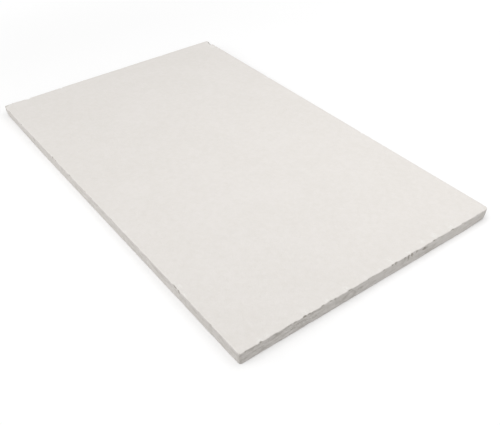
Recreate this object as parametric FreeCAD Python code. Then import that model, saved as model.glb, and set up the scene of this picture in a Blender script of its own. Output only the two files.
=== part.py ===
import FreeCAD, Part
import os

# Ceramic fibre insulation board: one sheet of vacuum-formed aluminosilicate fibre, dried and then
# sawn to size on all four sides. It is a single piece of stock, so it is a single solid.
#
# Units are millimetres and +Z is up. The board lies flat on its underside. The origin is the centre
# of the underside, +X runs along the length and +Y across the width.

# The sheet, sawn to a stock size.
LENGTH = 1000.0
WIDTH = 610.0
THICKNESS = 25.0

# The soft material rubs away where it is handled. Each upright corner has its own plan radius, keyed
# by the side of the board that it is on, as (sign of X, sign of Y).
CORNER_RADII = {
    (-1, -1): 3.0,
    (-1, +1): 4.0,
    (+1, +1): 6.0,
    (+1, -1): 4.0,
}

# Radius of the rubbed arris between a flat face and the sawn sides, on the upper face and underneath.
UPPER_ARRIS_RADIUS = 1.2
LOWER_ARRIS_RADIUS = 0.8

# Two heights closer than this are the same height.
SAME = 1e-6

NODE = "fibre_board"
PARTS_FOLDER = "parts"


def sawn_sheet():
    """The sheet as it leaves the saw: square edged, resting on its underside, centred on the origin."""
    low_corner = FreeCAD.Vector(-LENGTH / 2, -WIDTH / 2, 0)
    return Part.makeBox(LENGTH, WIDTH, THICKNESS, low_corner)


def upright_edge(sheet, x_side, y_side):
    """The upright edge at the corner on that side of the board's length and width."""
    at_corner = []
    for edge in sheet.Edges:
        ends = [vertex.Point for vertex in edge.Vertexes]
        upright = len(ends) == 2 and abs(ends[0].z - ends[1].z) > SAME
        if upright and ends[0].x * x_side > 0 and ends[0].y * y_side > 0:
            at_corner.append(edge)
    assert len(at_corner) == 1, "a corner that is still sharp has one upright edge"
    return at_corner[0]


def round_corners(sheet):
    """Rounds each upright corner to its own plan radius."""
    for (x_side, y_side), radius in CORNER_RADII.items():
        sheet = sheet.makeFillet(radius, [upright_edge(sheet, x_side, y_side)])
    return sheet


def soften_arris(sheet, height, radius):
    """Rounds the whole outline of the flat face at that height."""
    outline = []
    for edge in sheet.Edges:
        if all(abs(vertex.Z - height) < SAME for vertex in edge.Vertexes):
            outline.append(edge)
    return sheet.makeFillet(radius, outline)


def fibre_board():
    """The finished board, with its corners and arrises worn."""
    board = round_corners(sawn_sheet())
    board = soften_arris(board, THICKNESS, UPPER_ARRIS_RADIUS)
    return soften_arris(board, 0.0, LOWER_ARRIS_RADIUS)


board = fibre_board()
assert board.isValid() and len(board.Solids) == 1, "the board is one sound solid"

os.makedirs(PARTS_FOLDER, exist_ok=True)
board.exportStep(os.path.join(PARTS_FOLDER, NODE + ".step"))
print(f"{NODE}: {LENGTH:g} x {WIDTH:g} x {THICKNESS:g} mm, {board.Volume / 1e9:.6f} cubic metres")
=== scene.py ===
# %% [markdown]
# # A ceramic fibre insulation board
#
# The real thing is one flat sheet, 1000 x 610 x 25 mm. Short white aluminosilicate fibres are stirred
# into water with a little binder, sucked down onto a wire screen into a wet felt, dried hard, and sawn
# to size. It lines kilns and furnaces. The stuff is as light and as soft as dry cake: its flat faces
# are matt and a little cloudy, and its sawn edges show the layers of the felt and crumble easily.
#
# CAD has settled the size. It gives a plain block with its corners and arrises rounded. An arris is
# the long edge where two faces meet. This script makes what CAD leaves out: the sawn layers, the torn
# places, the rubbed corners, the slight wave of the faces, and the finishes.
#
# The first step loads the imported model, which is the fixed frame that everything else has to fit.

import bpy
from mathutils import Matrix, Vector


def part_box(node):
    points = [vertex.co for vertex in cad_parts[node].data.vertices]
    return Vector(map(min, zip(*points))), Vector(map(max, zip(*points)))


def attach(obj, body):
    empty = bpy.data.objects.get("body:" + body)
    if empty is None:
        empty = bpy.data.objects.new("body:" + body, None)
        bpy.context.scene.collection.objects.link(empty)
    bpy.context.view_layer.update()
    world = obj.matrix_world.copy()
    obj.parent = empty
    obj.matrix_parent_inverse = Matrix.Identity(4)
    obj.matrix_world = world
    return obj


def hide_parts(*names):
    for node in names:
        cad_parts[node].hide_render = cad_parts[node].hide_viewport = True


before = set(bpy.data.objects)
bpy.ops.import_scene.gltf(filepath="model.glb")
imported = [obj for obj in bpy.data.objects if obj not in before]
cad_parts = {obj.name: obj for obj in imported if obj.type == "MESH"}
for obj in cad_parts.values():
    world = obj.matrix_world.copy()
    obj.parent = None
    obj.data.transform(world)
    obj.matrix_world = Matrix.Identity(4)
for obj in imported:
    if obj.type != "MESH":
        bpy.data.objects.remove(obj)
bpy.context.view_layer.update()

# %% The tools that the steps below use
import math
import random

import bpy
import numpy as np
from mathutils import Matrix, Vector, geometry, noise

scene = bpy.context.scene
print("Blender", bpy.app.version_string)

# %% [markdown]
# ## The camera
#
# A camera in Blender looks along its own -Z, with its own +Y up. It could be turned by three angles,
# but it is easier to say where it stands and which point it looks at. `to_track_quat` turns that
# direction into a rotation, and one small turn about the line of sight gives the tilt of a camera
# that was held by hand. The lens is in millimetres for a sensor 36 mm wide.

# %% Where the camera stands and what it looks at
CAMERA_PLACE = Vector((1.0845, -0.7017, 0.8677))
CAMERA_AIM = Vector((0.2211, -0.0766, 0.025))
CAMERA_TILT = math.radians(-1.23)
LENS_MM = 49.47

line_of_sight = CAMERA_AIM - CAMERA_PLACE
level_view = line_of_sight.to_track_quat("-Z", "Y").to_matrix()
tilted_view = level_view @ Matrix.Rotation(CAMERA_TILT, 3, "Z")

camera = bpy.data.objects.new("camera", bpy.data.cameras.new("camera"))
camera.data.lens = LENS_MM
camera.data.clip_start = 0.05
camera.data.clip_end = 100
camera.location = CAMERA_PLACE
camera.rotation_euler = tilted_view.to_euler()
scene.collection.objects.link(camera)
scene.camera = camera
print("the camera is", round(line_of_sight.length, 3), "m from its aim")

# %% [markdown]
# ## Colours and nodes
#
# People pick colours as sRGB hex values, as on a web page, and Blender's shaders want linear light.
# One function turns one into the other. Another adds a shader node with its settings and links, so
# that each material below reads as a list of what it is made of.


# %% One function for colours
def linear(hex_colour):
    """An sRGB hex colour as linear red, green, blue and full opacity."""
    channels = []
    for start in (1, 3, 5):
        value = int(hex_colour[start : start + 2], 16) / 255
        if value <= 0.04045:
            channels.append(value / 12.92)
        else:
            channels.append(((value + 0.055) / 1.055) ** 2.4)
    return (*channels, 1.0)


print("middle grey in linear light:", [round(value, 3) for value in linear("#808080")[:3]])


# %% One function for nodes
def add_node(tree, kind, settings=None, inputs=None):
    """Adds a node. Its settings are properties, and its inputs are values or the sockets that feed it."""
    node = tree.nodes.new(kind)
    for name, value in (settings or {}).items():
        setattr(node, name, value)
    for name, value in (inputs or {}).items():
        if isinstance(value, bpy.types.NodeSocket):
            tree.links.new(value, node.inputs[name])
        else:
            node.inputs[name].default_value = value
    return node


# %% [markdown]
# ## The light
#
# A pale matt board in a white studio gets light from everywhere. The world makes an even glow. A sun
# with a wide soft disc stands for the bright side of the room, in front of the board, so the long
# side is lighter than the short end. A broad lamp above the back makes the flat face fade a little
# towards its left end. Two small soft lamps stand low, as white cards do in a studio, and lift the
# sawn edges, which look away from the ceiling. Together they light a flat surface at about the level
# where a colour comes out as it is written.
#
# The background has to be white without pouring more light on the board. Light Path says what kind of
# ray asks. The camera, a mirror or a pane of glass gets plain white, and every other ray gets the
# gentler glow.

# %% Plain colours on the screen
scene.view_settings.view_transform = "Standard"
print("view transform:", scene.view_settings.view_transform)


# %% What is shown plain white
def shown_white(tree):
    """A socket that is 1 for a ray from the camera, a mirror or glass, and 0 for any other."""
    rays = add_node(tree, "ShaderNodeLightPath")
    seen_or_mirrored = add_node(
        tree,
        "ShaderNodeMath",
        {"operation": "MAXIMUM"},
        {0: rays.outputs["Is Camera Ray"], 1: rays.outputs["Is Glossy Ray"]},
    )
    seen_at_all = add_node(
        tree,
        "ShaderNodeMath",
        {"operation": "MAXIMUM"},
        {0: seen_or_mirrored.outputs[0], 1: rays.outputs["Is Transmission Ray"]},
    )
    return seen_at_all.outputs[0]


# %% The glow of the room
ROOM_GLOW = 0.64

world = bpy.data.worlds.new("studio")
world.use_nodes = True
scene.world = world
sky = world.node_tree
sky.nodes.clear()
glow = add_node(sky, "ShaderNodeBackground", None, {"Strength": ROOM_GLOW})
white = add_node(sky, "ShaderNodeBackground", None, {"Strength": 1.0})
glow.inputs["Color"].default_value = linear("#FFFFFF")
white.inputs["Color"].default_value = linear("#FFFFFF")
sky_mix = add_node(
    sky,
    "ShaderNodeMixShader",
    None,
    {0: shown_white(sky), 1: glow.outputs[0], 2: white.outputs[0]},
)
add_node(sky, "ShaderNodeOutputWorld", None, {"Surface": sky_mix.outputs[0]})
print("room glow", ROOM_GLOW)

# %% The bright side of the room
SUN_STRENGTH = 0.85
SUN_DISC = math.radians(60)
SUN_FROM = Vector((-0.05, -0.9, 1.0))

sun = bpy.data.objects.new("bright_side", bpy.data.lights.new("bright_side", "SUN"))
sun.data.energy = SUN_STRENGTH
sun.data.angle = SUN_DISC
sun.rotation_euler = (-SUN_FROM).to_track_quat("-Z", "Y").to_euler()
scene.collection.objects.link(sun)
print("sun", SUN_STRENGTH, "watts per square metre")

# %% The lamp above the back half
LAMP_WATTS = 2.6
LAMP_SIDE = 0.8
LAMP_PLACE = Vector((0.25, 0.35, 1.1))

lamp = bpy.data.objects.new("overhead", bpy.data.lights.new("overhead", "AREA"))
lamp.data.energy = LAMP_WATTS
lamp.data.shape = "SQUARE"
lamp.data.size = LAMP_SIDE
lamp.location = LAMP_PLACE
lamp.visible_camera = False
scene.collection.objects.link(lamp)
print("overhead lamp", LAMP_WATTS, "watts")

# %% Two white cards
CARD_SIDE = 0.5
# Name, place, the point it faces, and watts.
CARDS = [
    ("card_right", Vector((1.4, 0.75, 0.28)), Vector((0.5, 0.2, 0.0)), 1.6),
    ("card_front", Vector((-0.25, -1.25, 0.4)), Vector((-0.1, -0.305, 0.0)), 1.6),
]
for name, place, aim, watts in CARDS:
    card = bpy.data.objects.new(name, bpy.data.lights.new(name, "AREA"))
    card.data.energy = watts
    card.data.shape = "SQUARE"
    card.data.size = CARD_SIDE
    card.location = place
    card.rotation_euler = (aim - place).to_track_quat("-Z", "Y").to_euler()
    card.visible_camera = False
    scene.collection.objects.link(card)
print(len(CARDS), "cards")

# %% [markdown]
# ## The floor
#
# The board lies on a white floor that runs out of sight. What the camera sees is matt white with a
# little glow of its own, and it gets a shade whiter with distance, so it is plain white in the open
# and still darkens in the board's shadow. To light that bounces, the floor is a mid grey, because a
# white floor would throw so much light up that the sawn edges came out as pale as the face.

# %% Make the floor
FLOOR_REACH = 20.0
FLOOR_DROP = 0.0001

floor_mesh = bpy.data.meshes.new("floor")
floor_mesh.from_pydata(
    [
        (-FLOOR_REACH, -FLOOR_REACH, -FLOOR_DROP),
        (FLOOR_REACH, -FLOOR_REACH, -FLOOR_DROP),
        (FLOOR_REACH, FLOOR_REACH, -FLOOR_DROP),
        (-FLOOR_REACH, FLOOR_REACH, -FLOOR_DROP),
    ],
    [],
    [(0, 1, 2, 3)],
)
floor = bpy.data.objects.new("floor", floor_mesh)
scene.collection.objects.link(floor)
print("floor", 2 * FLOOR_REACH, "m across")

# %% The colour that the camera sees, near the board and far from it
FLOOR_SEEN_NEAR = linear("#ECECEC")
FLOOR_SEEN_FAR = linear("#FFFFFF")
FLOOR_NEAR = 0.7
FLOOR_FAR = 1.8

floor_paint = bpy.data.materials.new("matt_white_studio_floor")
floor_paint.use_nodes = True
floor_nodes = floor_paint.node_tree
floor_nodes.nodes.clear()
floor_place = add_node(floor_nodes, "ShaderNodeTexCoord")
from_board = add_node(
    floor_nodes,
    "ShaderNodeVectorMath",
    {"operation": "LENGTH"},
    {0: floor_place.outputs["Object"]},
)
far_share = add_node(
    floor_nodes,
    "ShaderNodeMapRange",
    {"interpolation_type": "SMOOTHSTEP"},
    {"Value": from_board.outputs["Value"], "From Min": FLOOR_NEAR, "From Max": FLOOR_FAR},
)
seen_colour = add_node(
    floor_nodes,
    "ShaderNodeMix",
    {"data_type": "RGBA"},
    {0: far_share.outputs[0], 6: FLOOR_SEEN_NEAR, 7: FLOOR_SEEN_FAR},
)
print("whiter from", FLOOR_NEAR, "to", FLOOR_FAR, "m from the board's middle")

# %% The glow, the bounce, and the two put together
FLOOR_GLOW = 0.2
FLOOR_BOUNCE = linear("#9C9A96")

seen_paint = add_node(
    floor_nodes,
    "ShaderNodeBsdfDiffuse",
    None,
    {"Color": seen_colour.outputs[2]},
)
seen_glow = add_node(floor_nodes, "ShaderNodeEmission", None, {"Strength": FLOOR_GLOW})
seen_floor = add_node(
    floor_nodes,
    "ShaderNodeAddShader",
    None,
    {0: seen_paint.outputs[0], 1: seen_glow.outputs[0]},
)
bounce_paint = add_node(floor_nodes, "ShaderNodeBsdfDiffuse", None, {"Color": FLOOR_BOUNCE})
floor_mix = add_node(
    floor_nodes,
    "ShaderNodeMixShader",
    None,
    {0: shown_white(floor_nodes), 1: bounce_paint.outputs[0], 2: seen_floor.outputs[0]},
)
add_node(floor_nodes, "ShaderNodeOutputMaterial", None, {"Surface": floor_mix.outputs[0]})
floor_mesh.materials.append(floor_paint)
print(floor_paint.name, "has", len(floor_nodes.nodes), "nodes")

# %% [markdown]
# ## The board's outline
#
# The board could be a cube with a bevel, cut up finely all over, but nearly all of its detail is
# within a finger's width of its edges. So it is made in two parts that share their points: a fine
# band that wraps round the edges, and a coarse fill for the middle of each flat face.
#
# The band is a loop of places round the outline, seen from above, and at each place a column of
# points that runs in from the upper face, over the arris, down the sawn edge and under. The steps
# below work in millimetres, and the last one turns them to metres.

# %% Sizes of the board
MM = 0.001
low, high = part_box("fibre_board")
HALF_LENGTH = (high.x - low.x) / 2 / MM
HALF_WIDTH = (high.y - low.y) / 2 / MM
THICKNESS = (high.z - low.z) / MM
print("board", 2 * HALF_LENGTH, "x", 2 * HALF_WIDTH, "x", THICKNESS, "mm")

# %% How the outline is cut up
STEP_ALONG = 1.6
CORNER_STEPS = 9

# The corners come counterclockwise seen from above. Each has the sign of its X and Y, the angle at
# which its quarter circle starts, and its plan radius. The side before each corner is named too.
CORNERS = [
    {"side": "front", "signs": (+1, -1), "start": -90, "radius": 4.0},
    {"side": "right", "signs": (+1, +1), "start": 0, "radius": 8.0},
    {"side": "back", "signs": (-1, +1), "start": 90, "radius": 4.0},
    {"side": "left", "signs": (-1, -1), "start": 180, "radius": 3.0},
]
print("corners:", [(corner["signs"], corner["radius"]) for corner in CORNERS])


# %% A point on a rounded corner
def corner_point(corner, inset, radius, turn):
    """Where a quarter circle is after a share of its turn, and which way faces out there."""
    x_sign, y_sign = corner["signs"]
    angle = math.radians(corner["start"] + 90 * turn)
    outward = np.array([math.cos(angle), math.sin(angle)])
    middle = np.array(
        [x_sign * (HALF_LENGTH - inset - radius), y_sign * (HALF_WIDTH - inset - radius)]
    )
    return middle + radius * outward, outward


front_end, _ = corner_point(CORNERS[0], 0.0, CORNERS[0]["radius"], 0.0)
print("the front side is straight as far as X", front_end[0], "mm")


# %% The whole outline, at any distance in from the edge
def outline(inset, radii):
    """Points round the board, set in from its edge, and the outward direction at each."""
    points = []
    directions = []
    for number, corner in enumerate(CORNERS):
        before = CORNERS[number - 1]
        start, _ = corner_point(before, inset, radii[number - 1], 1.0)
        end, outward = corner_point(corner, inset, radii[number], 0.0)
        full_length = 2 * (HALF_LENGTH if corner["side"] in ("front", "back") else HALF_WIDTH)
        steps = round(full_length / STEP_ALONG)
        for step in range(steps):
            points.append(start + (end - start) * step / steps)
            directions.append(outward)
        for step in range(CORNER_STEPS):
            point, outward = corner_point(corner, inset, radii[number], step / CORNER_STEPS)
            points.append(point)
            directions.append(outward)
    return np.array(points), np.array(directions)


corner_radii = [corner["radius"] for corner in CORNERS]
edge_line, outward_way = outline(0.0, corner_radii)
PLACES = len(edge_line)
print(PLACES, "places round the outline")

# %% [markdown]
# ## The column of points at each place
#
# Each column starts 14 mm in on the upper face. It has four zones: flat face, upper arris, sawn edge
# and lower arris, and then a short way under. Each point keeps two numbers that later steps use: how
# far it is in from the edge, and how far down from the upper face.

# %% Make the columns
BAND_ON_FACE = 14.0
UPPER_ARRIS = 1.2
LOWER_ARRIS = 0.8
FACE_ROWS = 9
ARRIS_ROWS = 4
EDGE_ROWS = 17
UNDER_ROWS = 3
INNER_CORNER = 8.0

inner_line, _ = outline(BAND_ON_FACE, [INNER_CORNER] * 4)


def arris_line(radius, turn):
    """The outline after a share of the quarter turn from a flat face to the edge, and its drop."""
    angle = turn * math.pi / 2
    inset = radius * (1 - math.sin(angle))
    drop = radius * (1 - math.cos(angle))
    line, _ = outline(inset, [corner - inset for corner in corner_radii])
    return line, drop


rows = []
face_rim, _ = arris_line(UPPER_ARRIS, 0.0)
for step in range(FACE_ROWS):
    share = step / FACE_ROWS
    rows.append((inner_line + (face_rim - inner_line) * share, 0.0))
for step in range(ARRIS_ROWS):
    rows.append(arris_line(UPPER_ARRIS, step / ARRIS_ROWS))
for step in range(EDGE_ROWS):
    drop = UPPER_ARRIS + (THICKNESS - UPPER_ARRIS - LOWER_ARRIS) * step / EDGE_ROWS
    rows.append((edge_line, drop))
for step in range(ARRIS_ROWS):
    line, rise = arris_line(LOWER_ARRIS, 1 - step / ARRIS_ROWS)
    rows.append((line, THICKNESS - rise))
under_rim, _ = arris_line(LOWER_ARRIS, 0.0)
for step in range(UNDER_ROWS + 1):
    share = step / UNDER_ROWS
    rows.append((under_rim + (inner_line - under_rim) * share, THICKNESS))
print(len(rows), "rows of points in the band")

# %% The band's points, one array for each thing that the steps below need
band_plan = np.array([line for line, drop in rows])
band_down = np.array([np.full(PLACES, drop) for line, drop in rows])
band_out = np.array([outward_way for line, drop in rows])
distance_in_x = HALF_LENGTH - np.abs(band_plan[:, :, 0])
distance_in_y = HALF_WIDTH - np.abs(band_plan[:, :, 1])
band_in = np.minimum(distance_in_x, distance_in_y)
print("band points:", band_plan.shape[0] * band_plan.shape[1])

# %% [markdown]
# ## The sawn edges
#
# Fibre settles on the screen in thin layers, and a saw tears through them rather than cutting clean.
# The edge is left with shallow ledges a millimetre or two apart that run along it, with scabs
# where a piece of a layer came away, and with small pits. Blender's `noise` gives the unevenness: it
# is a smooth random value for any point in space. Stretching the point before it is looked up
# stretches the pattern, so the layers are looked up with a long step along the board and a short one
# down it. The short ends were sawn across the felt and are rougher than the long sides.

# %% Random values at every point of the band
LAYER_LENGTH = 45.0
LAYER_HEIGHT = 2.6
SCAB_LENGTH = 16.0
SCAB_HEIGHT = 7.0
CRUMB = 3.0
NOISE_MIDDLE = 0.5  # most noise is between -0.5 and 0.5, and this added to it makes 0 to 1
# Where in the endless noise each pattern is looked up, so that no two of them are alike.
LAYER_SHIFT = 3.1
SCAB_SHIFT = 17.4
CRUMB_SHIFT = 41.7


def noise_over_band(length, height, shift):
    """Smooth noise at each point of the band, length mm long across the board and height mm high."""
    values = np.empty(band_down.shape)
    for row in range(band_down.shape[0]):
        for place in range(PLACES):
            x, y = band_plan[row, place]
            spot = (x / length + shift, y / length, band_down[row, place] / height)
            values[row, place] = noise.noise(spot)
    return values


layers = noise_over_band(LAYER_LENGTH, LAYER_HEIGHT, LAYER_SHIFT)
scabs = noise_over_band(SCAB_LENGTH, SCAB_HEIGHT, SCAB_SHIFT)
crumbs = noise_over_band(CRUMB, CRUMB, CRUMB_SHIFT)
print("layers from", round(layers.min(), 2), "to", round(layers.max(), 2))

# %% How rough each side is, from its start to its end, counterclockwise
ROUGH = {"front": (0.35, 0.5), "right": (1.15, 0.45), "back": (0.45, 0.5), "left": (0.8, 1.1)}
CORNER_ROUGH = 0.6

side_rough = []
for corner in CORNERS:
    full_length = 2 * (HALF_LENGTH if corner["side"] in ("front", "back") else HALF_WIDTH)
    first_rough, last_rough = ROUGH[corner["side"]]
    side_rough += list(np.linspace(first_rough, last_rough, round(full_length / STEP_ALONG)))
    side_rough += [CORNER_ROUGH] * CORNER_STEPS
side_rough = np.array(side_rough)
print("roughness from", side_rough.min(), "to", side_rough.max())

# %% How deep the saw left each point
LAYER_DEPTH = 0.55
SCAB_DEPTH = 0.9
CRUMB_DEPTH = 0.5
SCAB_FROM = 0.12
SCAB_TO = 0.3
SAW_FADE = 3.0
ARRIS_CALM = 0.2
CALM_DOWN_TO = 5.0

scab_share = np.clip((scabs - SCAB_FROM) / (SCAB_TO - SCAB_FROM), 0, 1)
fade_on_face = np.clip(1 - band_in / SAW_FADE, 0, 1)
calm_at_arris = ARRIS_CALM + (1 - ARRIS_CALM) * np.clip(band_down / CALM_DOWN_TO, 0, 1)
ledges = (LAYER_DEPTH * (NOISE_MIDDLE + layers) + SCAB_DEPTH * scab_share) * calm_at_arris
crumbling = CRUMB_DEPTH * (NOISE_MIDDLE + crumbs)
saw_depth = (ledges + crumbling) * side_rough * fade_on_face
print("the saw took off up to", round(saw_depth.max(), 2), "mm")

# %% Move the band in by that depth
points = np.dstack(
    [
        band_plan[:, :, 0] - band_out[:, :, 0] * saw_depth,
        band_plan[:, :, 1] - band_out[:, :, 1] * saw_depth,
        THICKNESS - band_down,
    ]
)
print("the band runs from", points[:, :, 2].max(), "mm high down to", points[:, :, 2].min())

# %% How torn each point is, from 0 to 1, and so how much painted shade it gets
# This mask sets painted shade: scabs, bites and rubbed corners are later painted darker for the shade in
# them.
SCAB_SHADE = 0.3

torn_shade_mask = SCAB_SHADE * scab_share * fade_on_face * side_rough
print("scabs are torn by up to", round(torn_shade_mask.max(), 2))

# %% [markdown]
# ## Torn places
#
# Where a board is knocked, a bite of felt comes out of the arris. Each bite here is the hollow that a
# flattened ball would leave. The points inside the ball move along one line until they reach its
# surface: slantwise into the board at an arris, and straight in on the sawn edge. Crumb noise makes
# the ball ragged, and the felt round it lifts a little, as it does when fibres pull.
#
# The larger bites are listed one by one. The many small ones are scattered at random from a fixed seed,
# so that the board is the same each time.

# %% Which way each side faces, how far it is from the middle, and which way runs along it
FACING = {
    "front": (np.array([0.0, -1.0]), HALF_WIDTH, np.array([1.0, 0.0])),
    "right": (np.array([1.0, 0.0]), HALF_LENGTH, np.array([0.0, 1.0])),
    "back": (np.array([0.0, 1.0]), HALF_WIDTH, np.array([1.0, 0.0])),
    "left": (np.array([-1.0, 0.0]), HALF_LENGTH, np.array([0.0, 1.0])),
}


def seen_from_side(side, along):
    """How far the band's points are along a side from a place on it, and how far in from the side."""
    out, distance, run = FACING[side]
    from_place = points[:, :, :2] - (out * distance + run * along)
    return from_place @ run, -(from_place @ out)


print("sides:", list(FACING))

# %% The larger bites
# Side, how far along it from its middle, and then length, reach in, reach down and depth of its
# middle under the upper face, all in millimetres. Along runs with X on the long sides and with Y on
# the ends.
BITES = [
    ("right", -291, 15, 1.4, 4.5, 0),
    ("right", -262, 8, 2.4, 4.0, 0),
    ("right", -215, 8, 1.0, 2.2, 0),
    ("right", -190, 9, 1.4, 3.0, 0),
    ("right", -170, 9, 2.6, 4.5, 0),
    ("right", -160, 8, 1.8, 3.0, 0),
    ("right", -180, 22, 1.7, 2.0, 9),
    ("right", -168, 26, 1.5, 1.5, 13),
    ("right", -150, 16, 1.4, 1.8, 16),
    ("right", -130, 7, 2.2, 3.5, 0),
    ("right", -112, 9, 2.0, 3.5, 0),
    ("right", -103, 8, 1.4, 5.0, 0),
    ("right", -68, 10, 1.5, 3.6, 0),
    ("right", -20, 6, 1.3, 2.5, 0),
    ("right", 14, 7, 1.2, 2.2, 0),
    ("right", 36, 7, 1.5, 3.5, 0),
    ("right", 45, 9, 2.0, 6.0, 0),
    ("right", 67, 7, 1.4, 5.5, 4),
    ("right", 78, 4, 1.6, 8.0, 6),
    ("right", 87, 6, 1.7, 5.5, 3),
    ("right", 99, 5, 1.2, 4.0, 3),
    ("right", 121, 13, 2.0, 3.8, 8),
    ("right", 147, 8, 1.8, 3.4, 0),
    ("right", 158, 7, 1.3, 2.6, 0),
    ("right", 197, 10, 1.7, 2.8, 0),
    ("front", 308, 15, 1.6, 4.5, 0),
    ("front", 320, 7, 1.3, 5.0, 4),
    ("front", -120, 9, 1.4, 2.2, 0),
    ("front", 70, 7, 1.3, 2.0, 0),
    ("left", -235, 170, 2.2, 3.6, 0),
    ("left", -243, 15, 6.0, 6.0, 0),
    ("left", -152, 8, 3.5, 4.0, 0),
    ("left", 20, 9, 2.0, 3.0, 0),
    ("left", 150, 12, 2.2, 3.5, 0),
    ("back", -482, 18, 7.0, 4.5, 0),
    ("back", -474, 9, 8.0, 3.4, 0),
    ("back", -456, 7, 2.0, 3.0, 0),
    ("back", -210, 12, 2.0, 3.0, 0),
    ("back", 140, 10, 1.8, 3.0, 0),
]

# %% The scattered small ones
NIBBLES = {"front": 26, "right": 56, "back": 30, "left": 40}
NIBBLE_SEED = 5
NIBBLE_MARGIN = 6.0
NIBBLE_SMALLEST = 0.4
# For each measure, the least and how much a large one adds to it.
NIBBLE_LENGTH = (3.0, 8.0)
NIBBLE_IN = (0.5, 1.1)
NIBBLE_DOWN = (1.0, 1.8)
NIBBLE_ON_EDGE = (4, 20)

picker = random.Random(NIBBLE_SEED)
for side, count in NIBBLES.items():
    reach = HALF_LENGTH if side in ("front", "back") else HALF_WIDTH
    for _ in range(count):
        along = picker.uniform(NIBBLE_MARGIN - reach, reach - NIBBLE_MARGIN)
        size = picker.uniform(NIBBLE_SMALLEST, 1.0) ** 2
        # Three in five are at the upper arris, one is on the sawn edge and one at the lower arris.
        on_edge = picker.uniform(*NIBBLE_ON_EDGE)
        deep = picker.choice((0, 0, 0, on_edge, THICKNESS))
        measures = [least + more * size for least, more in (NIBBLE_LENGTH, NIBBLE_IN, NIBBLE_DOWN)]
        BITES.append((side, along, *measures, deep))
print(len(BITES), "bites in all")

# %% Take the bites
RAGGED = 0.9
RAGGED_UP_TO = 2.2  # a bite that reaches further in is less ragged, or its surface would fold
LIP = 0.45
LIP_REACH = 2.2
LONGEST_WITH_LIP = 30
# How far a bite goes in before its painted shade is full, in millimetres.
TORN_SHADE_FULL_AT = 1.5
PLAIN_TO_SEE = 0.5  # for the printed counts only

lifted = np.zeros(band_down.shape)
for side, along, length, reach_in, reach_down, deep in BITES:
    out, _, _ = FACING[side]
    far_along, far_in = seen_from_side(side, along)
    a = far_along / (length / 2)
    b = far_in / reach_in
    c = (THICKNESS - points[:, :, 2] - deep) / reach_down
    ragged = RAGGED * min(1.0, RAGGED_UP_TO / reach_in)
    ball = (a**2 + b**2 + c**2) * (1 + ragged * crumbs)
    at_upper_arris = deep < reach_down
    at_lower_arris = deep > THICKNESS - reach_down
    down = (1.0 if at_upper_arris else 0.0) - (1.0 if at_lower_arris else 0.0)
    way_in, way_down = (1.0, down) / np.hypot(1.0, down)
    # Solves for how far each point inside goes, along that line, to the ball's far surface.
    square = (way_in / reach_in) ** 2 + (way_down / reach_down) ** 2
    half = b * way_in / reach_in + c * way_down / reach_down
    inside = ball < 1
    travel = np.zeros(ball.shape)
    under_root = half[inside] ** 2 + square * (1 - ball[inside])
    travel[inside] = (np.sqrt(under_root) - half[inside]) / square
    points[:, :, 0] -= out[0] * way_in * travel
    points[:, :, 1] -= out[1] * way_in * travel
    points[:, :, 2] -= way_down * travel
    # Painted shade, by how far the bite went in.
    torn_shade_mask = np.maximum(torn_shade_mask, np.clip(travel / TORN_SHADE_FULL_AT, 0, 1))
    if at_upper_arris and length < LONGEST_WITH_LIP:
        near = (ball >= 1) & (ball < LIP_REACH**2) & (band_down == 0)
        closeness = 1 - (np.sqrt(ball[near]) - 1) / (LIP_REACH - 1)
        lift = LIP * closeness * (NOISE_MIDDLE + crumbs[near])
        points[:, :, 2][near] += lift
        lifted[near] = np.maximum(lifted[near], lift / LIP)
print("torn points:", int((torn_shade_mask > PLAIN_TO_SEE).sum()))

# %% [markdown]
# ## Pulled and fluffed felt
#
# Where a layer tore, a strand of it is often left standing a little proud of the sawn edge. A strand
# is a long thin oval on the edge whose points move out.
#
# Near the torn places the skin of the upper face is scuffed too, and loose white fibre stands up from
# it in patches the size of a fingertip. A patch is a circle whose points rise, some more than others,
# by the same crumb noise. The materials make whatever was pulled or fluffed whiter.

# %% Pull the strands
# Side, how far along it, and then length, height above the underside and thickness, in millimetres.
STRANDS = [
    ("right", -164, 38, 11.5, 2.0),
    ("right", -148, 24, 7.5, 1.8),
    ("right", -205, 20, 14.0, 1.6),
    ("right", 20, 26, 9.0, 1.6),
    ("right", 116, 18, 11.0, 2.0),
    ("right", 232, 30, 13.0, 1.6),
    ("front", 215, 34, 12.0, 1.6),
    ("front", -60, 40, 9.0, 1.6),
    ("front", -330, 30, 15.0, 1.6),
    ("back", 260, 36, 11.0, 1.6),
    ("back", -90, 30, 8.0, 1.6),
    ("left", 110, 34, 12.0, 2.0),
    ("left", -90, 26, 8.0, 1.8),
    ("left", -190, 22, 15.0, 1.6),
]
STRAND_PROUD = 0.6
STRAND_SHARP = 1.6
NEAR_SIDE = 8.0

for side, along, length, height, thick in STRANDS:
    out, _, _ = FACING[side]
    far_along, far_in = seen_from_side(side, along)
    oval = (far_along / (length / 2)) ** 2 + ((points[:, :, 2] - height) / thick) ** 2
    strand = np.clip(STRAND_SHARP * (1 - oval), 0, 1) * (far_in < NEAR_SIDE) * (band_in < NEAR_SIDE)
    strand = strand * np.clip(NOISE_MIDDLE + crumbs + layers, 0, 1)
    points[:, :, :2] += (STRAND_PROUD * strand)[:, :, None] * out
    lifted = np.maximum(lifted, strand)
print("pulled points:", int((lifted > PLAIN_TO_SEE).sum()))

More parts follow.
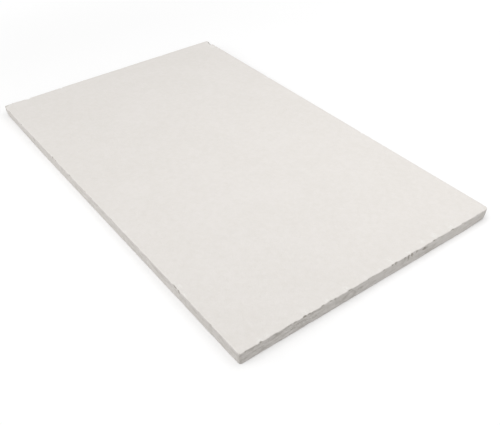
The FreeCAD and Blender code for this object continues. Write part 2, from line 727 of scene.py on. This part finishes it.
# %% Fluff up the felt
# X, Y and radius of each patch, in millimetres.
FLUFFED = [
    (494, -262, 7),
    (493, -246, 5),
    (492, -163, 8),
    (495, -118, 6),
    (493, -72, 8),
    (495, 8, 5),
    (491, 40, 9),
    (494, 82, 6),
    (489, 124, 7),
    (489, 156, 9),
    (492, 200, 8),
    (312, -299, 8),
    (296, -301, 6),
    (336, -302, 5),
    (120, -302, 5),
    (-458, 294, 13),
    (-438, 299, 8),
    (-491, -297, 9),
    (-496, -238, 7),
    (-496, 24, 6),
    (-496, 148, 6),
    (-212, 301, 6),
    (144, 301, 6),
]
FLUFF_HEIGHT = 0.3
FLUFF_CONTRAST = 2.0
FLUFF_SHARP = 1.3

for x, y, radius in FLUFFED:
    away = np.hypot(points[:, :, 0] - x, points[:, :, 1] - y)
    patch = np.clip(FLUFF_SHARP * (1 - away / radius), 0, 1) * (band_down == 0)
    patch = patch * np.clip(NOISE_MIDDLE + FLUFF_CONTRAST * crumbs, 0, 1)
    points[:, :, 2] += FLUFF_HEIGHT * patch
    lifted = np.maximum(lifted, patch)
print("pulled and fluffed points:", int((lifted > PLAIN_TO_SEE).sum()))

# %% [markdown]
# ## Rubbed corners and arrises
#
# The corners take the most knocks. Two of them are worn in their own way: the one at the right end
# of the back is rubbed away more the further down it goes, and the one at the left end of the front
# has a crumbled tip. A corner is rubbed by moving the points near it towards the middle of the board.
#
# Boards that are dragged off a stack also lose their lower arris near a corner. There the edge curves
# in towards the floor: each point moves in by the square of its depth below the start of the curve,
# and the points under the board move with it, by less and less, so that none of them cross.

# %% Rub the corners
# Signs of the corner, how far the wear runs along each side, how much is gone at the upper face and
# at the underside, and how crumbly it is, in millimetres.
CORNER_WEAR = [
    ((+1, -1), 9.0, 0.6, 0.8, 0.4),
    ((+1, +1), 16.0, 0.5, 4.0, 0.5),
    ((-1, +1), 10.0, 0.8, 0.8, 0.8),
    ((-1, -1), 18.0, 2.5, 4.5, 2.4),
]

# How much painted shade a rubbed corner gets, and how much rubbing makes it full.
RUBBED_SHADE = 0.6
RUBBED_SHADE_FULL_AT = 2.0

for (x_sign, y_sign), reach, gone_above, gone_below, crumbly in CORNER_WEAR:
    tip = np.array([x_sign * HALF_LENGTH, y_sign * HALF_WIDTH])
    away = np.linalg.norm(band_plan - tip, axis=2)
    near = np.clip(1 - away / reach, 0, 1)
    near = near * near * (3 - 2 * near)  # an S-shaped curve, so that the wear has no start line
    gone = gone_above + (gone_below - gone_above) * band_down / THICKNESS
    gone = (gone + crumbly * crumbs) * near
    points[:, :, 0] -= x_sign * gone / math.sqrt(2)
    points[:, :, 1] -= y_sign * gone / math.sqrt(2)
    torn_shade_mask = np.maximum(torn_shade_mask, RUBBED_SHADE * np.clip(gone / RUBBED_SHADE_FULL_AT, 0, 1))
print("corners rubbed:", len(CORNER_WEAR))

# %% Rub the lower arris
# Side, how far along it is worst, how far it runs each way, how far in it goes at the floor, and how
# high it starts, in millimetres.
LOWER_RUBS = [
    ("front", -500, 230, 4.0, 12.0),
    ("right", 305, 70, 3.0, 8.0),
    ("left", -305, 60, 2.0, 8.0),
]

for side, along, reach, most_in, start_height in LOWER_RUBS:
    out, _, _ = FACING[side]
    far_along, far_in = seen_from_side(side, along)
    share = np.clip(1 - np.abs(far_along) / reach, 0, 1) * (band_in < BAND_ON_FACE)
    share = share * np.clip(1 - far_in / BAND_ON_FACE, 0, 1)
    below_start = np.clip(1 - points[:, :, 2] / start_height, 0, 1)
    move_in = most_in * share * below_start**2
    points[:, :, :2] -= move_in[:, :, None] * out
print("lower arrises rubbed:", len(LOWER_RUBS))

# %% [markdown]
# ## The flat faces
#
# A face that was sucked onto a screen and dried isn't quite flat. It has a slow wave of a few tenths
# of a millimetre, which only shows as the faintest change of tone. The wave depends only on where a
# point is on the board, so the band and the fill agree where they meet. The underside stays flat,
# because the board lies on it.

# %% The wave of the upper face
# Lengths and heights in millimetres, and where in the noise each is looked up.
WAVE_LENGTH = 130.0
WAVE_HEIGHT = 0.22
CLOUD_LENGTH = 28.0
CLOUD_HEIGHT = 0.07
WAVE_SHIFT = 8.3
CLOUD_SHIFT = 2.9


def face_drop(x, y):
    """How far the upper face is below its nominal height at a place on the board."""
    wave = NOISE_MIDDLE + noise.noise((x / WAVE_LENGTH, y / WAVE_LENGTH, WAVE_SHIFT))
    cloud = NOISE_MIDDLE + noise.noise((x / CLOUD_LENGTH, y / CLOUD_LENGTH, CLOUD_SHIFT))
    return WAVE_HEIGHT * wave + CLOUD_HEIGHT * cloud


for row in range(points.shape[0]):
    for place in range(PLACES):
        x, y, z = points[row, place]
        points[row, place, 2] -= face_drop(x, y) * max(z, 0.0) / THICKNESS
points[:, :, 2] = np.maximum(points[:, :, 2], 0.0)
print("highest point", round(points[:, :, 2].max(), 2), "mm")

# %% [markdown]
# ## Filling the middle
#
# Blender can fill an outline with triangles: `delaunay_2d_cdt` takes the outline's points and any
# loose points inside it, and joins them all up with well-shaped triangles. The loose points make a
# coarse grid, fine enough for the slow wave. Each is nudged, so that no straight rows show.

# %% Loose points for the fill
FILL_STEP = 14.0
FILL_MARGIN = 24.0
FILL_NUDGE = 3.0
SAME_POINT = 1e-6

loose = []
columns = round((2 * HALF_LENGTH - 2 * FILL_MARGIN) / FILL_STEP)
lines = round((2 * HALF_WIDTH - 2 * FILL_MARGIN) / FILL_STEP)
for column in range(columns + 1):
    for line in range(lines + 1):
        x = -HALF_LENGTH + FILL_MARGIN + (2 * HALF_LENGTH - 2 * FILL_MARGIN) * column / columns
        y = -HALF_WIDTH + FILL_MARGIN + (2 * HALF_WIDTH - 2 * FILL_MARGIN) * line / lines
        x += picker.uniform(-FILL_NUDGE, FILL_NUDGE)
        y += picker.uniform(-FILL_NUDGE, FILL_NUDGE)
        loose.append((x, y))
print(len(loose), "loose points in each face")


# %% Fill one face
def fill(rim):
    """Triangles that fill the rim, as numbers of points: the rim's points first, then the loose ones."""
    flat = [Vector((x, y)) for x, y, z in rim] + [Vector(spot) for spot in loose]
    whole_rim = [list(range(PLACES))]
    inside_only = 1
    made = geometry.delaunay_2d_cdt(flat, [], whole_rim, inside_only, SAME_POINT)
    vertices, _, triangles, came_from, _, _ = made
    assert len(vertices) == len(flat), "the fill adds no points of its own"
    first = [sources[0] for sources in came_from]
    return [[first[corner] for corner in triangle] for triangle in triangles]


upper_fill = fill(points[0])
under_fill = fill(points[-1])
print(len(upper_fill), "triangles above and", len(under_fill), "below")

# %% [markdown]
# ## Putting the board together
#
# The band's quads, the fill above and the fill below become one closed mesh. Each face of the mesh
# also gets a material number: the upper face, the sawn edge with its arrises, and the underside. Two
# attributes carry how torn and how fluffed up each point is. The materials paint shade where it is
# torn, for the shade in its hollows, and make it whiter where it is fluffed.

# %% Number the points and faces
ROWS = len(rows)
vertices = [tuple(spot) for row in points for spot in row]
upper_loose = len(vertices)
vertices += [(x, y, THICKNESS - face_drop(x, y)) for x, y in loose]
under_loose = len(vertices)
vertices += [(x, y, 0.0) for x, y in loose]

FACE_FINISH, EDGE_FINISH, UNDER_FINISH = 0, 1, 2
first_edge_row = FACE_ROWS + 1
last_edge_row = FACE_ROWS + ARRIS_ROWS + EDGE_ROWS + ARRIS_ROWS - 1
faces = []
finishes = []
for row in range(ROWS - 1):
    for place in range(PLACES):
        after = (place + 1) % PLACES
        here = row * PLACES
        below = here + PLACES
        faces.append((here + place, below + place, below + after, here + after))
        if row < first_edge_row:
            finishes.append(FACE_FINISH)
        elif row < last_edge_row:
            finishes.append(EDGE_FINISH)
        else:
            finishes.append(UNDER_FINISH)

for a, b, c in upper_fill:
    numbers = [n if n < PLACES else upper_loose + n - PLACES for n in (a, b, c)]
    faces.append(tuple(numbers))
    finishes.append(FACE_FINISH)
last_row = (ROWS - 1) * PLACES
for a, b, c in under_fill:
    numbers = [last_row + n if n < PLACES else under_loose + n - PLACES for n in (c, b, a)]
    faces.append(tuple(numbers))
    finishes.append(UNDER_FINISH)
print(len(vertices), "points and", len(faces), "faces")

# %% Make the mesh
board_mesh = bpy.data.meshes.new("fibre_board_sheet")
board_mesh.from_pydata([(x * MM, y * MM, z * MM) for x, y, z in vertices], [], faces)
board_mesh.polygons.foreach_set("material_index", finishes)
board_mesh.polygons.foreach_set("use_smooth", [True] * len(faces))
for name, values in (("torn_shade_mask", torn_shade_mask), ("lifted", lifted)):
    attribute = board_mesh.attributes.new(name, "FLOAT", "POINT")
    everywhere = np.zeros(len(vertices), np.float32)
    everywhere[: values.size] = values.ravel()
    attribute.data.foreach_set("value", everywhere)
board_mesh.update()
board_mesh.validate()

board = bpy.data.objects.new("fibre_board_sheet", board_mesh)
scene.collection.objects.link(board)
triangle_count = sum(len(face) - 2 for face in faces)
print(triangle_count, "triangles")

# %% [markdown]
# ## The formed face
#
# Vacuum-formed aluminosilicate fibre, as it dried: an off-white felt, warm rather than blue. Nothing
# on it shines, so its roughness is near 1. Its IOR is that of the glassy fibre, about 1.55, with the
# specular level turned down, because so open a felt swallows most of the reflection. The eye gets a
# very even surface with four faint things on it: clouds where the felt is a shade thicker, flocs a
# few millimetres across where fibres clumped, the tangle of the fibres, and fine grain. Noise with
# distortion turns its patches into curled threads, and that makes the tangle. A few specks are beads
# of glass that never drew out into fibre.

# %% Colours of the board
FELT_LIGHT = "#E8E4E0"
FELT_DARK = "#E4E0DB"
FELT_LIFTED = "#F0EEEA"
BEAD = "#CFC7B9"
SAWN_LIGHT = "#EEEAE7"
SAWN_DARK = "#DEDAD5"
# The next colour is painted shade for the torn places: the torn inner felt is whiter, and this dark grey
# stands in for the shade in its hollows.
TORN_PAINTED_SHADE = "#A6A198"
print("felt from", FELT_DARK, "to", FELT_LIGHT, "and torn felt", TORN_PAINTED_SHADE)

# %% How fibre takes the light
FIBRE_IOR = 1.55
FACE_SPECULAR = 0.2
EDGE_SPECULAR = 0.15
print("IOR", FIBRE_IOR)


# %% A material with its first nodes
def start_material(name):
    """A new material, with an empty tree and the board's own coordinates in metres."""
    material = bpy.data.materials.new(name)
    material.use_nodes = True
    tree = material.node_tree
    tree.nodes.clear()
    place = add_node(tree, "ShaderNodeTexCoord")
    return material, tree, place.outputs["Object"]


# %% Pattern sizes
# Noise has about one light and one dark patch in each unit of its scale. A pattern of patches this
# many millimetres wide needs a scale of 1000 / (2 x width), because the coordinates are in metres.
MM_IN_A_METRE = 1000


def scale_for(patch_mm):
    """The texture scale that gives patches of this width."""
    return MM_IN_A_METRE / (2 * patch_mm)


CLOUD_MM = 60
FLOC_MM = 5
TANGLE_MM = 2.4
GRAIN_MM = 1.6  # real fibre is a few thousandths of a millimetre thick, too fine to show
print("the clouds need a scale of", round(scale_for(CLOUD_MM), 2))

# %% Vacuum-formed fibre face: its four noises
formed, tree, here = start_material("vacuum_formed_fibre_face")
clouds = add_node(
    tree,
    "ShaderNodeTexNoise",
    None,
    {"Vector": here, "Scale": scale_for(CLOUD_MM), "Detail": 3.0, "Roughness": 0.55},
)
flocs = add_node(
    tree,
    "ShaderNodeTexNoise",
    None,
    {"Vector": here, "Scale": scale_for(FLOC_MM), "Detail": 3.0, "Roughness": 0.6},
)
grain = add_node(
    tree,
    "ShaderNodeTexNoise",
    None,
    {"Vector": here, "Scale": scale_for(GRAIN_MM), "Detail": 2.0, "Roughness": 0.6},
)
tangle = add_node(
    tree,
    "ShaderNodeTexNoise",
    None,
    {
        "Vector": here,
        "Scale": scale_for(TANGLE_MM),
        "Detail": 4.0,
        "Roughness": 0.7,
        "Distortion": 1.6,
    },
)
print("clouds, flocs, grain and tangle:", CLOUD_MM, FLOC_MM, GRAIN_MM, TANGLE_MM, "mm")

# %% Its tone, from three of them
slow_tone = add_node(
    tree,
    "ShaderNodeMath",
    {"operation": "MULTIPLY_ADD"},
    {0: clouds.outputs["Fac"], 1: 0.5, 2: flocs.outputs["Fac"]},
)
tone = add_node(
    tree,
    "ShaderNodeMath",
    {"operation": "MULTIPLY_ADD"},
    {0: tangle.outputs["Fac"], 1: 0.8, 2: slow_tone.outputs[0]},
)
tone_share = add_node(
    tree,
    "ShaderNodeMapRange",
    None,
    {"Value": tone.outputs[0], "From Min": 0.95, "From Max": 1.35},
)
felt_colour = add_node(
    tree,
    "ShaderNodeMix",
    {"data_type": "RGBA"},
    {0: tone_share.outputs[0], 6: linear(FELT_DARK), 7: linear(FELT_LIGHT)},
)
print("felt from", FELT_DARK, "to", FELT_LIGHT)

# %% Beads of glass
BEAD_SPACING_MM = 38
# A bead is full strength out to the core and gone at the rim, both as shares of the spacing.
BEAD_CORE = 0.018
BEAD_RIM = 0.03
BEAD_STRENGTH = 0.45

beads = add_node(
    tree,
    "ShaderNodeTexVoronoi",
    None,
    {"Vector": here, "Scale": MM_IN_A_METRE / BEAD_SPACING_MM},
)
bead_spot = add_node(
    tree,
    "ShaderNodeMapRange",
    None,
    {
        "Value": beads.outputs["Distance"],
        "From Min": BEAD_CORE,
        "From Max": BEAD_RIM,
        "To Min": BEAD_STRENGTH,
        "To Max": 0.0,
    },
)
beaded_colour = add_node(
    tree,
    "ShaderNodeMix",
    {"data_type": "RGBA"},
    {0: bead_spot.outputs[0], 6: felt_colour.outputs[2], 7: linear(BEAD)},
)
print("a bead is", round(2 * BEAD_RIM * BEAD_SPACING_MM, 1), "mm across")

# %% Whiter where it is fluffed, and painted shade where it is torn
# The torn felt is painted darker as painted shade of its hollows, and on this face only three quarters as
# much as on the sawn edge.
FACE_TORN_SHADE_SHARE = 0.75  # a bite in the face catches more light than one in the sawn edge

lifted_here = add_node(tree, "ShaderNodeAttribute", {"attribute_name": "lifted"})
pulled_colour = add_node(
    tree,
    "ShaderNodeMix",
    {"data_type": "RGBA"},
    {0: lifted_here.outputs["Fac"], 6: beaded_colour.outputs[2], 7: linear(FELT_LIFTED)},
)
torn_shade_here = add_node(tree, "ShaderNodeAttribute", {"attribute_name": "torn_shade_mask"})
torn_shade_share = add_node(
    tree,
    "ShaderNodeMath",
    {"operation": "MULTIPLY"},
    {0: torn_shade_here.outputs["Fac"], 1: FACE_TORN_SHADE_SHARE},
)
face_colour = add_node(
    tree,
    "ShaderNodeMix",
    {"data_type": "RGBA"},
    {0: torn_shade_share.outputs[0], 6: pulled_colour.outputs[2], 7: linear(TORN_PAINTED_SHADE)},
)
print("torn share", FACE_TORN_SHADE_SHARE)

# %% Its relief
coarse_relief = add_node(
    tree,
    "ShaderNodeMath",
    {"operation": "MULTIPLY_ADD"},
    {0: grain.outputs["Fac"], 1: 0.5, 2: flocs.outputs["Fac"]},
)
relief = add_node(
    tree,
    "ShaderNodeMath",
    {"operation": "ADD"},
    {0: coarse_relief.outputs[0], 1: tangle.outputs["Fac"]},
)
bump = add_node(
    tree,
    "ShaderNodeBump",
    None,
    {"Height": relief.outputs[0], "Strength": 0.9, "Distance": 0.0006},
)
print("relief", bump.inputs["Distance"].default_value, "m deep")

# %% Its shader
dry = add_node(
    tree,
    "ShaderNodeMapRange",
    None,
    {"Value": grain.outputs["Fac"], "To Min": 0.9, "To Max": 1.0},
)
shader = add_node(
    tree,
    "ShaderNodeBsdfPrincipled",
    None,
    {
        "Base Color": face_colour.outputs[2],
        "Roughness": dry.outputs[0],
        "Normal": bump.outputs[0],
        "IOR": FIBRE_IOR,
        "Specular IOR Level": FACE_SPECULAR,
        "Metallic": 0.0,
    },
)
add_node(tree, "ShaderNodeOutputMaterial", None, {"Surface": shader.outputs[0]})
print(formed.name, "has", len(tree.nodes), "nodes")

# %% [markdown]
# ## The sawn edge
#
# The same felt, cut through. A saw leaves broken fibre ends, so it is rougher and a shade greyer than
# the face. The eye gets streaks along the board, one for each layer of felt, with scuffs across
# them. Where felt came away, the hollows are painted darker, as painted shade. The streaks are noise
# squeezed in Z alone, so they run along all four sides without any turning.

# %% Pattern sizes of the edge
STREAK_LENGTH_MM = 22
STREAK_HEIGHT_MM = 1.3
SCUFF_MM = 7
print("each streak is about", STREAK_HEIGHT_MM, "mm high")

# %% Sawn fibre edge: its three noises
sawn, tree, here = start_material("sawn_fibre_edge")
squeezed = add_node(
    tree,
    "ShaderNodeMapping",
    None,
    {"Vector": here, "Scale": (1.0, 1.0, STREAK_LENGTH_MM / STREAK_HEIGHT_MM)},
)
streaks = add_node(
    tree,
    "ShaderNodeTexNoise",
    None,
    {
        "Vector": squeezed.outputs[0],
        "Scale": scale_for(STREAK_LENGTH_MM),
        "Detail": 4.0,
        "Roughness": 0.65,
    },
)
scuffs = add_node(
    tree,
    "ShaderNodeTexNoise",
    None,
    {"Vector": here, "Scale": scale_for(SCUFF_MM), "Detail": 4.0, "Roughness": 0.65},
)
grain = add_node(
    tree,
    "ShaderNodeTexNoise",
    None,
    {"Vector": here, "Scale": scale_for(GRAIN_MM), "Detail": 2.0, "Roughness": 0.7},
)
print("streaks, scuffs and grain:", STREAK_LENGTH_MM, SCUFF_MM, GRAIN_MM, "mm")

# %% The colour of its layers
tone = add_node(
    tree,
    "ShaderNodeMath",
    {"operation": "MULTIPLY_ADD"},
    {0: scuffs.outputs["Fac"], 1: 0.8, 2: streaks.outputs["Fac"]},
)
tone_share = add_node(
    tree,
    "ShaderNodeMapRange",
    None,
    {"Value": tone.outputs[0], "From Min": 0.65, "From Max": 1.15},
)
layer_colour = add_node(
    tree,
    "ShaderNodeMix",
    {"data_type": "RGBA"},
    {0: tone_share.outputs[0], 6: linear(SAWN_DARK), 7: linear(SAWN_LIGHT)},
)
print("layers from", SAWN_DARK, "to", SAWN_LIGHT)

# %% Painted shade where it is torn, whiter where strands were pulled
torn_shade_here = add_node(tree, "ShaderNodeAttribute", {"attribute_name": "torn_shade_mask"})
# The scuffs break the painted shade of the torn places up, so that a bite isn't one flat patch.
torn_shade_patches = add_node(
    tree,
    "ShaderNodeMapRange",
    None,
    {
        "Value": scuffs.outputs["Fac"],
        "From Min": 0.4,
        "From Max": 0.65,
        "To Min": 1.0,
        "To Max": 0.5,
    },
)
torn_shade_share = add_node(
    tree,
    "ShaderNodeMath",
    {"operation": "MULTIPLY"},
    {0: torn_shade_here.outputs["Fac"], 1: torn_shade_patches.outputs[0]},
)
# Painted shade: the torn places are mixed towards a dark grey that stands in for the shade in them.
torn_shade_colour = add_node(
    tree,
    "ShaderNodeMix",
    {"data_type": "RGBA"},
    {0: torn_shade_share.outputs[0], 6: layer_colour.outputs[2], 7: linear(TORN_PAINTED_SHADE)},
)
lifted_here = add_node(tree, "ShaderNodeAttribute", {"attribute_name": "lifted"})
edge_colour = add_node(
    tree,
    "ShaderNodeMix",
    {"data_type": "RGBA"},
    {0: lifted_here.outputs["Fac"], 6: torn_shade_colour.outputs[2], 7: linear(FELT_LIFTED)},
)
print("torn felt", TORN_PAINTED_SHADE, "and pulled felt", FELT_LIFTED)

# %% Its relief and its shader
relief = add_node(
    tree,
    "ShaderNodeMath",
    {"operation": "MULTIPLY_ADD"},
    {0: grain.outputs["Fac"], 1: 0.6, 2: streaks.outputs["Fac"]},
)
bump = add_node(
    tree,
    "ShaderNodeBump",
    None,
    {"Height": relief.outputs[0], "Strength": 0.7, "Distance": 0.0012},
)
shader = add_node(
    tree,
    "ShaderNodeBsdfPrincipled",
    None,
    {
        "Base Color": edge_colour.outputs[2],
        "Roughness": 0.97,
        "Normal": bump.outputs[0],
        "IOR": FIBRE_IOR,
        "Specular IOR Level": EDGE_SPECULAR,
        "Metallic": 0.0,
    },
)
add_node(tree, "ShaderNodeOutputMaterial", None, {"Surface": shader.outputs[0]})
print(sawn.name, "has", len(tree.nodes), "nodes")

# %% [markdown]
# ## The screen side
#
# The underside is the face that lay on the wire screen, and it keeps the print of the weave: rows of
# small dimples, a few millimetres apart. Two waves that cross each other make it. The pitch of such a
# screen is about 2 mm, and it is drawn at 4 mm, so that it shows from a hand's length away.

# %% Screen-marked fibre face: its weave
SCREEN_PITCH_MM = 4

screen_side, tree, here = start_material("screen_marked_fibre_face")
apart = add_node(tree, "ShaderNodeSeparateXYZ", None, {"Vector": here})
turns = 2 * math.pi * MM_IN_A_METRE / SCREEN_PITCH_MM
crossing = []
for axis in ("X", "Y"):
    angle = add_node(
        tree,
        "ShaderNodeMath",
        {"operation": "MULTIPLY"},
        {0: apart.outputs[axis], 1: turns},
    )
    swing = add_node(tree, "ShaderNodeMath", {"operation": "SINE"}, {0: angle.outputs[0]})
    crossing.append(swing.outputs[0])
weave = add_node(
    tree,
    "ShaderNodeMath",
    {"operation": "MULTIPLY"},
    {0: crossing[0], 1: crossing[1]},
)
print("screen pitch", SCREEN_PITCH_MM, "mm")

# %% Its colour and its shader
clouds = add_node(
    tree,
    "ShaderNodeTexNoise",
    None,
    {"Vector": here, "Scale": scale_for(CLOUD_MM), "Detail": 3.0, "Roughness": 0.55},
)
weave_share = add_node(
    tree,
    "ShaderNodeMath",
    {"operation": "MULTIPLY_ADD"},
    {0: weave.outputs[0], 1: 0.25, 2: clouds.outputs["Fac"]},
)
screen_colour = add_node(
    tree,
    "ShaderNodeMix",
    {"data_type": "RGBA"},
    {0: weave_share.outputs[0], 6: linear(FELT_DARK), 7: linear(FELT_LIGHT)},
)
bump = add_node(
    tree,
    "ShaderNodeBump",
    None,
    {"Height": weave.outputs[0], "Strength": 0.6, "Distance": 0.0004},
)
shader = add_node(
    tree,
    "ShaderNodeBsdfPrincipled",
    None,
    {
        "Base Color": screen_colour.outputs[2],
        "Roughness": 0.96,
        "Normal": bump.outputs[0],
        "IOR": FIBRE_IOR,
        "Specular IOR Level": FACE_SPECULAR,
        "Metallic": 0.0,
    },
)
add_node(tree, "ShaderNodeOutputMaterial", None, {"Surface": shader.outputs[0]})
print(screen_side.name, "has", len(tree.nodes), "nodes")

# %% Give the board its three finishes
for finish in (formed, sawn, screen_side):
    board_mesh.materials.append(finish)
print("finishes:", [finish.name for finish in board_mesh.materials])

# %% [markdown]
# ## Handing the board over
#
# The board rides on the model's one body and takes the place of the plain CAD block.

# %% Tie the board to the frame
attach(board, "root")
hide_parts("fibre_board")
print(board.name, "rides on root")
